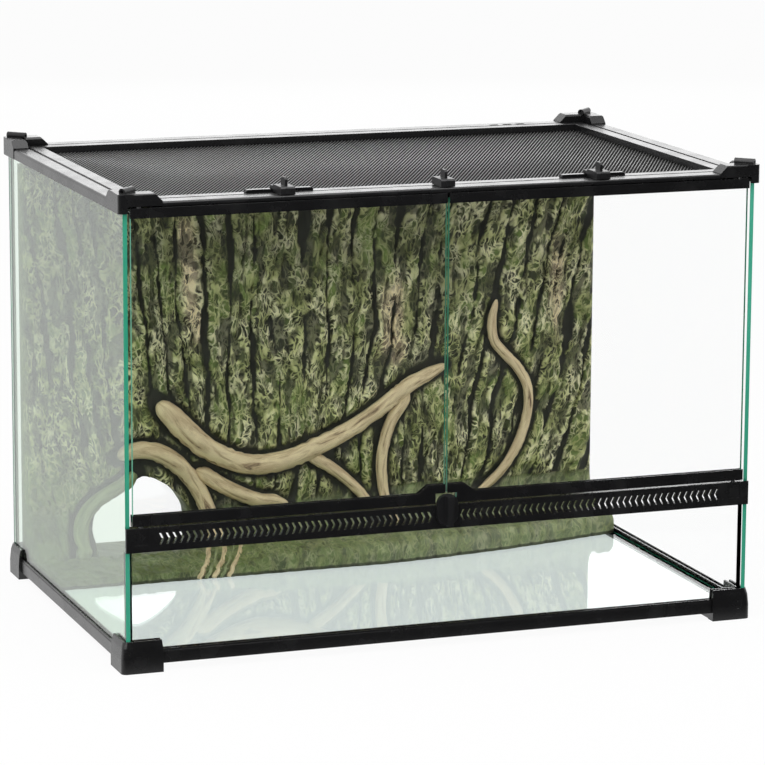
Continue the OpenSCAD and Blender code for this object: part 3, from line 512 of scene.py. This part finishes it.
def row_point(kind, t, x):
    """Point and outward normal of the plain surface, in (y, z), for one row and column."""
    reach = float(base_reach(x))
    front = WALL_FRONT - reach
    if kind == "wall":
        return WALL_FRONT, WALL_TOP + (LEDGE_TOP + COVE - WALL_TOP) * t, -1.0, 0.0
    if kind == "cove":
        a = t * math.pi / 2
        return (WALL_FRONT - COVE + COVE * math.cos(a), LEDGE_TOP + COVE - COVE * math.sin(a),
                -math.cos(a), math.sin(a))
    if kind == "ledge":
        start = WALL_FRONT - COVE
        return start + (front + LIP - start) * t, LEDGE_TOP, 0.0, 1.0
    if kind == "lip":
        a = t * math.pi / 2
        return (front + LIP - LIP * math.sin(a), LEDGE_TOP - LIP + LIP * math.cos(a),
                -math.sin(a), math.cos(a))
    return front, LEDGE_TOP - LIP + (FLOOR_TOP - LEDGE_TOP + LIP) * t, -1.0, 0.0


def near_roots(x, z):
    """Distance to the nearest root's surface, in the wall's plane."""
    best = np.full(x.shape, 1e9)
    for points in ROOTS.values():
        line = smooth_line(points, 3)
        for a, b in zip(line[:-1], line[1:]):
            d = b[:2] - a[:2]
            t = np.clip(((x - a[0]) * d[0] + (z - a[1]) * d[1]) / (d @ d), 0, 1)
            gap = np.hypot(x - a[0] - t * d[0], z - a[1] - t * d[1]) - (a[2] + t * (b[2] - a[2]))
            best = np.minimum(best, gap)
    return best


def step_up(low, high, value):
    """Smooth step from 0 at low to 1 at high; low may be the larger of the two."""
    t = np.clip((value - low) / (high - low), 0, 1)
    return t * t * (3 - 2 * t)


def outline_gap(x, z, outline):
    """Signed distance to an outline open at its foot: negative inside it."""
    best, foot = 1e9, None
    inside = False
    for (ax, az), (bx, bz) in zip(outline, outline[1:] + outline[:1]):
        dx, dz = bx - ax, bz - az
        t = min(1.0, max(0.0, ((x - ax) * dx + (z - az) * dz) / (dx * dx + dz * dz)))
        px, pz = ax + t * dx, az + t * dz
        d = math.hypot(x - px, z - pz)
        if d < best:
            best, foot = d, (px, pz)
        if (az > z) != (bz > z) and x < (bx - ax) * (z - az) / (bz - az) + ax:
            inside = not inside
    return (-best if inside else best), foot


def field(u, v, seed):
    """Smooth 2-D noise from -1 to 1 on arrays."""
    angle = np.random.default_rng(seed).uniform(0, 2 * math.pi, (64, 64))
    u0, v0 = np.floor(u), np.floor(v)
    fu, fv = u - u0, v - v0
    su, sv = (t * t * t * (t * (t * 6 - 15) + 10) for t in (fu, fv))
    total = 0
    for du in (0, 1):
        for dv in (0, 1):
            a = angle[(u0 + du).astype(int) % 64, (v0 + dv).astype(int) % 64]
            dot = np.cos(a) * (fu - du) + np.sin(a) * (fv - dv)
            total = total + dot * (su if du else 1 - su) * (sv if dv else 1 - sv)
    return total * 1.5


def grain_lines(x, s):
    """Coordinate across the grain: the furrows fan out from the foot of the wall."""
    lean = 0.22 * np.clip((x + 60) / 290, -0.55, 1)
    return x - lean * (s - 120) + 8 * field(x / 80, s / 130, 1) + 2.8 * field(x / 20, s / 42, 2)


def sill(x, y):
    """Height to which the base is cut down in front of the arch and to its left."""
    return SILL_TOP + np.maximum(np.maximum(0, (x - SILL_END) / 5), y - (WALL_FRONT - COVE))


def plates(u, s):
    """Bark plates, for places across and along the grain: a mask that is 0 in the furrows,
    one that is 0 in the hollows of the plates, and the height above the furrows in mm."""
    spread = (u + 14 * field(u / 48, 0 * u + 3.3, 9)) / 22
    near = np.round(spread)
    half = 0.9 + 3.0 * field(near * 5.37, s / 62, 10) + 1.2 * field(u / 5, s / 9, 14)
    gate = step_up(half, half + 1.5, np.abs(spread - near) * 22 + 1.2 * field(u / 30, s / 24, 17))
    lumps = field(u / 11, s / 42, 5) + 0.45 * field(u / 5, s / 13, 6)
    full = step_up(-0.30, -0.08, lumps)
    rough = 1.6 * np.abs(field(u / 7, s / 13, 6)) + 0.8 * field(u / 4, s / 7, 7)
    height = gate * (1.5 + full * (3.0 + 1.7 * rough)) + 0.3 * field(u / 9, s / 30, 8)
    return gate, full, height


def bark_skin():
    """The plain surface under the relief: for each vertex its kind of row, how far it is along
    that stretch, its place and normal, and its distance down the surface as a height."""
    rows = bark_rows()
    columns = np.linspace(-WALL_SIDE, WALL_SIDE, BARK_COLUMNS)
    shape = (len(rows), BARK_COLUMNS)
    kinds = np.repeat([kind for kind, _ in rows], BARK_COLUMNS)
    shares = np.repeat([t for _, t in rows], BARK_COLUMNS)
    xs = np.tile(columns, len(rows))
    points = np.array([row_point(kind, t, x) for kind, t in rows for x in columns])
    ys, zs, ny, nz = points.T
    zs = np.where(kinds == "wall", zs, np.minimum(zs, sill(xs, ys)))
    steps = np.hypot(np.diff(ys.reshape(shape), axis=0), np.diff(zs.reshape(shape), axis=0))
    down = WALL_TOP - np.vstack([np.zeros(BARK_COLUMNS), np.cumsum(steps, axis=0)]).ravel()
    return kinds, shares, xs, ys, zs, ny, nz, down


def tan_streaks(xs, zs):
    """Bare tan wood: a long streak at the left, a patch over the main root and a thin streak
    at the right."""
    left = (np.exp(-((xs + 138 - 0.10 * (340 - zs)) / 8) ** 2) * step_up(212, 240, zs)
            * step_up(356, 338, zs))
    patch = np.exp(-((xs - 76) / 10) ** 2) * step_up(184, 204, zs) * step_up(288, 264, zs)
    right = np.exp(-((xs - 251) / 7) ** 2) * step_up(190, 240, zs) * step_up(330, 280, zs)
    return np.maximum(np.maximum(1.2 * left, 1.6 * patch), right)


def bark_looks(kinds, shares, xs, zs, down):
    """Place across the grain, height of the relief, and the masks that the paint reads."""
    on_wall = (kinds == "wall") | (kinds == "cove")
    us = grain_lines(xs, down)
    root_gap = near_roots(xs, zs)
    gate, full, height = plates(us, down)
    # the wall grows smooth and mossy towards its lower left corner
    low = step_up(150, 60, zs) * step_up(-120, -260, xs)
    calm = np.where(kinds == "wall", 1 - 0.75 * low, 0.5)
    groove = np.where(on_wall, step_up(2, 10, root_gap), 1.0)
    height = height * calm * groove * np.where(kinds == "face", 0.4, 1.0)
    out = height * np.minimum(1.0, (WALL_SIDE - np.abs(xs)) / 4) - 0.8
    out[:BARK_COLUMNS] = -0.4

    spots = field(us / 30, down / 62, 11) + 0.4 * field(us / 10, down / 22, 12)
    edge_green = step_up(150, 262, xs) * step_up(380, 200, zs)
    moss = step_up(0.10, 0.38,
                   spots + 0.45 * low + 0.28 * edge_green + np.where(on_wall, 0, 0.45))
    tan = np.clip(tan_streaks(xs, zs) * (1.1 + field(us / 12, down / 26, 13)), 0, 1)

    relief = gate * (0.22 + 0.78 * full)
    relief = np.where(calm < 0.9, np.maximum(relief, 0.45 * (1 - calm) + 0.2), relief)
    ledge_relief = 0.72 + 0.28 * gate + 0.10 * field(us / 26, down / 40, 18)
    # painted shadow: a dark line along the foot of the base, where its relief mask is set low
    foot = np.where((kinds == "face") & (shares > 0.6), 0.22, 1.0)
    # round the roots the relief mask falls to 0, which paints the wall furrow-dark there as
    # painted shade
    relief = np.where(on_wall, relief * step_up(1, 11, root_gap), ledge_relief * foot)

    net = np.where(kinds == "wall", 0.60 + 0.35 * step_up(330, 170, zs)
                   + 0.30 * step_up(120, 262, xs) + 0.35 * field(us / 45, down / 70, 16), 0.22)
    net = np.clip(net * (1 - 0.6 * low) + 0.5 * tan, 0.05, 1)
    pale_ledge = np.where(kinds == "wall", 0.0,
                          0.65 * step_up(-110, 120, xs) * step_up(70, 45, zs))
    return us, out, {"relief": relief, "moss": moss, "tan": tan, "net": net,
                     "pale_ledge": pale_ledge}


def cut_arch(bm, grid, on_wall, xs, zs):
    """Take the cave arch out of the grid and draw the edge that is left onto its outline."""
    arch = [tuple(p) for p in smooth_line(ARCH, 4)]
    inside = {}
    for i, v in enumerate(grid):
        if on_wall[i] and xs[i] < ARCH_SIDE and zs[i] < ARCH_ROOF:
            gap, nearest = outline_gap(xs[i], zs[i], arch)
            if gap < 0:
                inside[v] = nearest
    gone = [f for f in bm.faces if all(v in inside for v in f.verts)]
    bmesh.ops.delete(bm, geom=gone, context="FACES")
    loose = [v for v in bm.verts if not v.link_faces]
    bmesh.ops.delete(bm, geom=loose, context="VERTS")
    for v, (x, z) in inside.items():
        if v.is_valid and v.is_boundary and abs(v.co.x) < 0.285:
            v.co.x, v.co.z = x * MM, z * MM


def close_back(bm, layers, grain):
    """The sides, the foot and the arch's tunnel, back to the plane of the rear face."""
    front_faces = set(bm.faces)
    rim = [e for e in bm.edges if e.is_boundary]
    made = bmesh.ops.extrude_edge_only(bm, edges=rim)["geom"]
    back_verts = [g for g in made if isinstance(g, bmesh.types.BMVert)]
    back_edges = [g for g in made if isinstance(g, bmesh.types.BMEdge)]
    for v in back_verts:
        depth = WALL_FRONT * MM - COVE * MM - v.co.y
        if depth > 0:
            # below the cove: the rows run evenly down to the foot
            reach = (float(base_reach(v.co.x / MM)) - COVE) * MM
            ledge_z = (min(LEDGE_TOP, float(sill(v.co.x / MM, 0.0))) - 0.9) * MM
            share = min(1.0, depth / reach)
            v.co.z = min(v.co.z, ledge_z + (FLOOR_TOP * MM - ledge_z) * share * 0.5)
        v.co.y = WALL_BACK * MM
        for mask, value in (("relief", 0.5), ("moss", 0.9), ("tan", 0.0), ("net", 0.2)):
            v[layers[mask]] = value
    bmesh.ops.triangle_fill(bm, edges=back_edges, use_beauty=True)
    for face in bm.faces:
        if face not in front_faces:
            for loop in face.loops:
                loop[grain].uv = (loop.vert.co.x + loop.vert.co.y, loop.vert.co.z)


def bark_wall():
    """The bark's cast relief: a grid over the plain surface, pushed out along its normals."""
    kinds, shares, xs, ys, zs, ny, nz, down = bark_skin()
    us, out, looks = bark_looks(kinds, shares, xs, zs, down)
    bm = bmesh.new()
    layers = {mask: bm.verts.layers.float.new(mask) for mask in looks}
    grain = bm.loops.layers.uv.new("grain")
    bmesh.ops.create_grid(bm, x_segments=BARK_COLUMNS - 1,
                          y_segments=len(xs) // BARK_COLUMNS - 1, size=1)
    grid = sorted(bm.verts, key=lambda v: (-round(v.co.y, 6), round(v.co.x, 6)))
    for i, v in enumerate(grid):
        v.co = Vector((xs[i], ys[i] + ny[i] * out[i], zs[i] + nz[i] * out[i])) * MM
        for mask, layer in layers.items():
            v[layer] = looks[mask][i]
    place_of = {v: (us[i] * MM, down[i] * MM) for i, v in enumerate(grid)}
    for face in bm.faces:
        for loop in face.loops:
            loop[grain].uv = place_of[loop.vert]
    cut_arch(bm, grid, (kinds == "wall") | (kinds == "cove"), xs, zs)
    close_back(bm, layers, grain)
    bmesh.ops.recalc_face_normals(bm, faces=bm.faces)
    made = piece("bark_relief", bm, bark, "enclosure")
    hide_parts("bark_background")
    return made


def root_stem(name, points, finish):
    """A root: rings swept along its line, with knots, furrows and a blunt end."""
    sides = 20
    line = smooth_line(points, 6)
    count = len(line)
    bm = bmesh.new()
    under = bm.verts.layers.float.new("under")
    uv = bm.loops.layers.uv.new("stem")
    ring = bmesh.ops.create_circle(bm, segments=sides, radius=1, cap_ends=False)["verts"]
    ring_edges = list({e for v in ring for e in v.link_edges})
    rings = [ring]
    for _ in range(count - 1):
        made = bmesh.ops.extrude_edge_only(bm, edges=ring_edges)["geom"]
        ring_edges = [g for g in made if isinstance(g, bmesh.types.BMEdge)]
        rings.append(None)
        above = {}
        for v in (g for g in made if isinstance(g, bmesh.types.BMVert)):
            for e in v.link_edges:
                other = e.other_vert(v)
                if other in rings[-2]:
                    above[other] = v
        rings[-1] = [above[v] for v in rings[-2]]
    along = 0.0
    lengths = []
    for i, (x, z, radius) in enumerate(line):
        before, after = line[max(i - 1, 0)], line[min(i + 1, count - 1)]
        d = (after - before)[:2]
        d /= np.linalg.norm(d)
        if i:
            along += float(np.hypot(*(line[i] - line[i - 1])[:2]))
        lengths.append(along)
        y = float(skin_y(z)) - 0.35 * radius
        end = min(1.0, 0.35 + 0.65 * math.sqrt(min(1.0, min(along, 400.0) / 6.0)))
        tail = min(1.0, 0.45 + 0.55 * math.sqrt(max(0.0, (count - 1 - i)) / 5.0))
        for k, v in enumerate(rings[i]):
            a = 2 * math.pi * k / sides
            knot = noise.noise(Vector((math.cos(a) * 1.2, math.sin(a) * 1.2, along / 16 + x)))
            strand = math.sin(3 * a + along / 15.0 + 2.5 * knot)
            r = radius * end * tail * (1 + 0.10 * knot + 0.05 * strand)
            across, out = r * math.cos(a), r * math.sin(a)
            v.co = Vector((x - d[1] * across, y - out, z + d[0] * across)) * MM
            # under: 1 on the side towards the wall, where the root paint lays painted shade
            v[under] = float(step_up(0.10, -0.40, math.sin(a)))
    where = {v: (i, k) for i, r in enumerate(rings) for k, v in enumerate(r)}
    for face in bm.faces:
        ks = [where[l.vert][1] for l in face.loops]
        wrap = max(ks) - min(ks) > sides / 2
        for loop in face.loops:
            i, k = where[loop.vert]
            k = k + sides if wrap and k < sides / 2 else k
            loop[uv].uv = (k / sides * 0.05, lengths[i] * MM)
    for r in (rings[0], rings[-1]):
        edges = [e for e in {e for v in r for e in v.link_edges} if e.is_boundary]
        bmesh.ops.holes_fill(bm, edges=edges, sides=sides)
    bmesh.ops.recalc_face_normals(bm, faces=bm.faces)
    return piece(name, bm, finish, "enclosure")


def strand_line(n, front):
    """Places of the strand's rings and the way each faces out: over the ledge, round its edge
    and down to the floor pane."""
    path = [(-121 + 6 * n, 140.0), (-130 + 8.2 * n, 112.0), (-141 + 7.8 * n, 80.0),
            (-147.5 + 7.5 * n, 64.0), (-154.5 + 7.3 * n, front + 1)]
    line = [(x, y, min(LEDGE_TOP, float(sill(x, y))) + 0.5, 0, 0, 1)
            for x, y in smooth_line(path, 7)]
    x, top = line[-1][0], line[-1][2]
    line += [(x - 0.6, front - 0.4, top - 1.6, 0, -0.7, 0.7),
             (x - 1.6, front - 0.7, top - 4, 0, -1, 0),
             (x - 4.0, front - 0.7, FLOOR_TOP + 3, 0, -1, 0),
             (x - 4.6, front - 0.7, FLOOR_TOP + 1, 0, -1, 0)]
    return line


def ledge_strand(n, radius, line, finish):
    """One strand: rings along its line, thin at first, with a wavy skin."""
    sides = 12
    bm = bmesh.new()
    under = bm.verts.layers.float.new("under")
    uv = bm.loops.layers.uv.new("stem")
    bmesh.ops.create_grid(bm, x_segments=sides, y_segments=len(line) - 1, size=1,
                          calc_uvs=False)
    grid = sorted(bm.verts, key=lambda v: (-round(v.co.y, 6), round(v.co.x, 6)))
    place_of = {}
    for j, row in enumerate(line):
        at, out = Vector(row[:3]), Vector(row[3:]).normalized()
        run = Vector(line[min(j + 1, len(line) - 1)][:3]) - Vector(line[max(j - 1, 0)][:3])
        side = run.cross(out).normalized()
        r = radius * min(1.0, 0.3 + 0.2 * j)
        for k in range(sides + 1):
            a = math.pi * 2 * k / sides
            wave = 1 + 0.16 * noise.noise(Vector((math.cos(a) + n, math.sin(a), j / 4)))
            v = grid[j * (sides + 1) + k]
            v.co = (at + (side * math.cos(a) + out * math.sin(a)) * r * wave) * MM
            # under: 1 on the side towards the ledge, where the root paint lays painted shade
            v[under] = float(step_up(0.0, -0.5, math.sin(a)))
            place_of[v] = (k / sides * 0.03 + 0.1 * n, j * 0.004)
    for face in bm.faces:
        for loop in face.loops:
            loop[uv].uv = place_of[loop.vert]
    bmesh.ops.remove_doubles(bm, verts=bm.verts, dist=1e-6)
    bmesh.ops.holes_fill(bm, edges=[e for e in bm.edges if e.is_boundary], sides=sides)
    bmesh.ops.recalc_face_normals(bm, faces=bm.faces)
    piece(f"ledge_strand_{n + 1}", bm, finish, "enclosure")


def ledge_strands():
    """Strands, pale and mossy in turn, in which the left root runs out over the ledge."""
    front = WALL_FRONT - float(base_reach(-140.0))
    for n, radius in enumerate(STRAND_RADII):
        ledge_strand(n, radius, strand_line(n, front), mossy_root if n % 2 else pale_root)


def mesh_wires():
    """The lid's mesh: grey wires on the slant, painted highlight, over dark ones, painted shade,
    that cross them.
    """
    low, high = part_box("lid_mesh")
    middle = (low + high) / 2
    half_x = (high.x - low.x) / 2 - 0.001
    half_y = (high.y - low.y) / 2 - 0.001
    for name, side, lift, thick, finish in (("mesh_wires_rising", 1, 0.0003, 0.00095, wire),
                                            ("mesh_wires_falling", -1, -0.0008, 0.0011, wire_painted_shade)):
        bm = bmesh.new()
        run = Vector((side * math.cos(WIRE_SLANT), math.sin(WIRE_SLANT), 0))
        across = Vector((run.y, -run.x, 0))
        turn = Vector((0, 0, 1)).rotation_difference(run).to_matrix().to_4x4()
        count = int((half_x * abs(across.x) + half_y * abs(across.y)) / WIRE_SPACING)
        for i in range(-count, count + 1):
            start = across * (i * WIRE_SPACING)
            # where the wire meets the four sides of the mesh
            ends_x = sorted((s * half_x - start.x) / run.x for s in (-1, 1))
            ends_y = sorted((s * half_y - start.y) / run.y for s in (-1, 1))
            first, last = max(ends_x[0], ends_y[0]), min(ends_x[1], ends_y[1])
            if last - first < 0.003:
                continue
            at = middle + start + run * ((first + last) / 2) + Vector((0, 0, lift))
            bmesh.ops.create_cone(bm, cap_ends=True, segments=6, radius1=thick / 2,
                                  radius2=thick / 2, depth=last - first,
                                  matrix=Matrix.Translation(at) @ turn)
        made = piece(name, bm, finish, "lid")
        if side > 0:
            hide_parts("lid_mesh")


bark_wall()
for name, points in ROOTS.items():
    root_stem(name, points, mossy_root if name == "root_arch" else pale_root)
ledge_strands()
mesh_wires()


# ---- stage, light and camera ----

def stage_floor():
    bm = bmesh.new()
    bmesh.ops.create_grid(bm, x_segments=1, y_segments=1, size=6)
    mesh = bpy.data.meshes.new("studio_floor")
    bm.to_mesh(mesh)
    bm.free()
    floor = bpy.data.objects.new("studio_floor", mesh)
    bpy.context.scene.collection.objects.link(floor)
    made, tree, shader = new_material("pale_floor")
    shader.inputs["Base Color"].default_value = (0.85, 0.85, 0.85, 1)
    shader.inputs["Roughness"].default_value = 0.9
    shader.inputs["Specular IOR Level"].default_value = 0.1
    path = add(tree, "ShaderNodeLightPath")
    seen = math_of(tree, "MAXIMUM", path.outputs["Is Camera Ray"],
                   path.outputs["Is Transmission Ray"])
    where = add(tree, "ShaderNodeTexCoord")
    split = add(tree, "ShaderNodeSeparateXYZ")
    tree.links.new(where.outputs["Object"], split.inputs["Vector"])
    behind = ramp(tree, math_of(tree, "ADD", split.outputs["Y"], 0.75),
                  [(0.52, grey(0.04)), (0.57, grey(1.0))])
    gloss = path.outputs["Is Glossy Ray"]
    share = math_of(tree, "MAXIMUM", math_of(tree, "MULTIPLY", seen, 0.94), gloss)
    white = add(tree, "ShaderNodeEmission")
    tree.links.new(mix(tree, gloss, (1.0, 1.0, 1.0), behind), white.inputs["Color"])
    both = add(tree, "ShaderNodeMixShader")
    tree.links.new(share, both.inputs["Fac"])
    tree.links.new(shader.outputs["BSDF"], both.inputs[1])
    tree.links.new(white.outputs["Emission"], both.inputs[2])
    tree.links.new(both.outputs["Shader"], tree.nodes["Material Output"].inputs["Surface"])
    mesh.materials.append(made)


def studio_light():
    world = bpy.data.worlds.new("studio")
    bpy.context.scene.world = world
    world.use_nodes = True
    tree = world.node_tree
    back = tree.nodes["Background"]
    path = add(tree, "ShaderNodeLightPath")
    seen = math_of(tree, "MAXIMUM", path.outputs["Is Camera Ray"],
                   path.outputs["Is Transmission Ray"])
    where = add(tree, "ShaderNodeTexCoord")
    split = add(tree, "ShaderNodeSeparateXYZ")
    tree.links.new(where.outputs["Generated"], split.inputs["Vector"])
    # reflections see the pale backdrop behind and beside the object, and a dark room before it
    behind = ramp(tree, math_of(tree, "ADD", split.outputs["Y"], 0.5),
                  [(0.0, grey(0.05)), (0.35, grey(1.0))])
    gloss = mix(tree, path.outputs["Is Glossy Ray"], (0.62, 0.62, 0.62), behind)
    tree.links.new(mix(tree, seen, gloss, (1.0, 1.0, 1.0)), back.inputs["Color"])
    back.inputs["Strength"].default_value = 1.0
    for name, at, size, power in (("softbox_top", (-0.2, -0.5, 1.9), 1.8, 22.0),
                                  ("softbox_left", (-1.9, -1.6, 1.3), 1.4, 16.0),
                                  ("softbox_behind", (1.2, 3.6, 1.35), 2.2, 18.0)):
        lamp = bpy.data.lights.new(name, "AREA")
        lamp.shape = "SQUARE"
        lamp.size = size
        lamp.energy = power
        made = bpy.data.objects.new(name, lamp)
        made.location = at
        made.rotation_euler = (Vector((0, 0, 0.2)) - Vector(at)).to_track_quat(
            "-Z", "Y").to_euler()
        bpy.context.scene.collection.objects.link(made)


def photo_camera():
    lens = bpy.data.cameras.new("photo_camera")
    lens.sensor_width = SENSOR
    lens.lens = SENSOR * FOCAL_LENGTH / PHOTO_WIDTH
    lens.clip_start, lens.clip_end = 0.1, 40
    camera = bpy.data.objects.new("photo_camera", lens)
    right = Vector((0.94019, -0.34061, 0.00492))
    up = Vector((0.06248, 0.18663, 0.98044))
    ahead = Vector((0.33486, 0.92150, -0.19675))
    turn = Matrix((right, up, -ahead)).transposed().to_4x4()
    camera.matrix_world = Matrix.Translation((-1.2024, -3.3318, 0.9185)) @ turn
    bpy.context.scene.collection.objects.link(camera)
    bpy.context.scene.camera = camera


stage_floor()
studio_light()
photo_camera()
bpy.context.scene.view_settings.view_transform = "Standard"
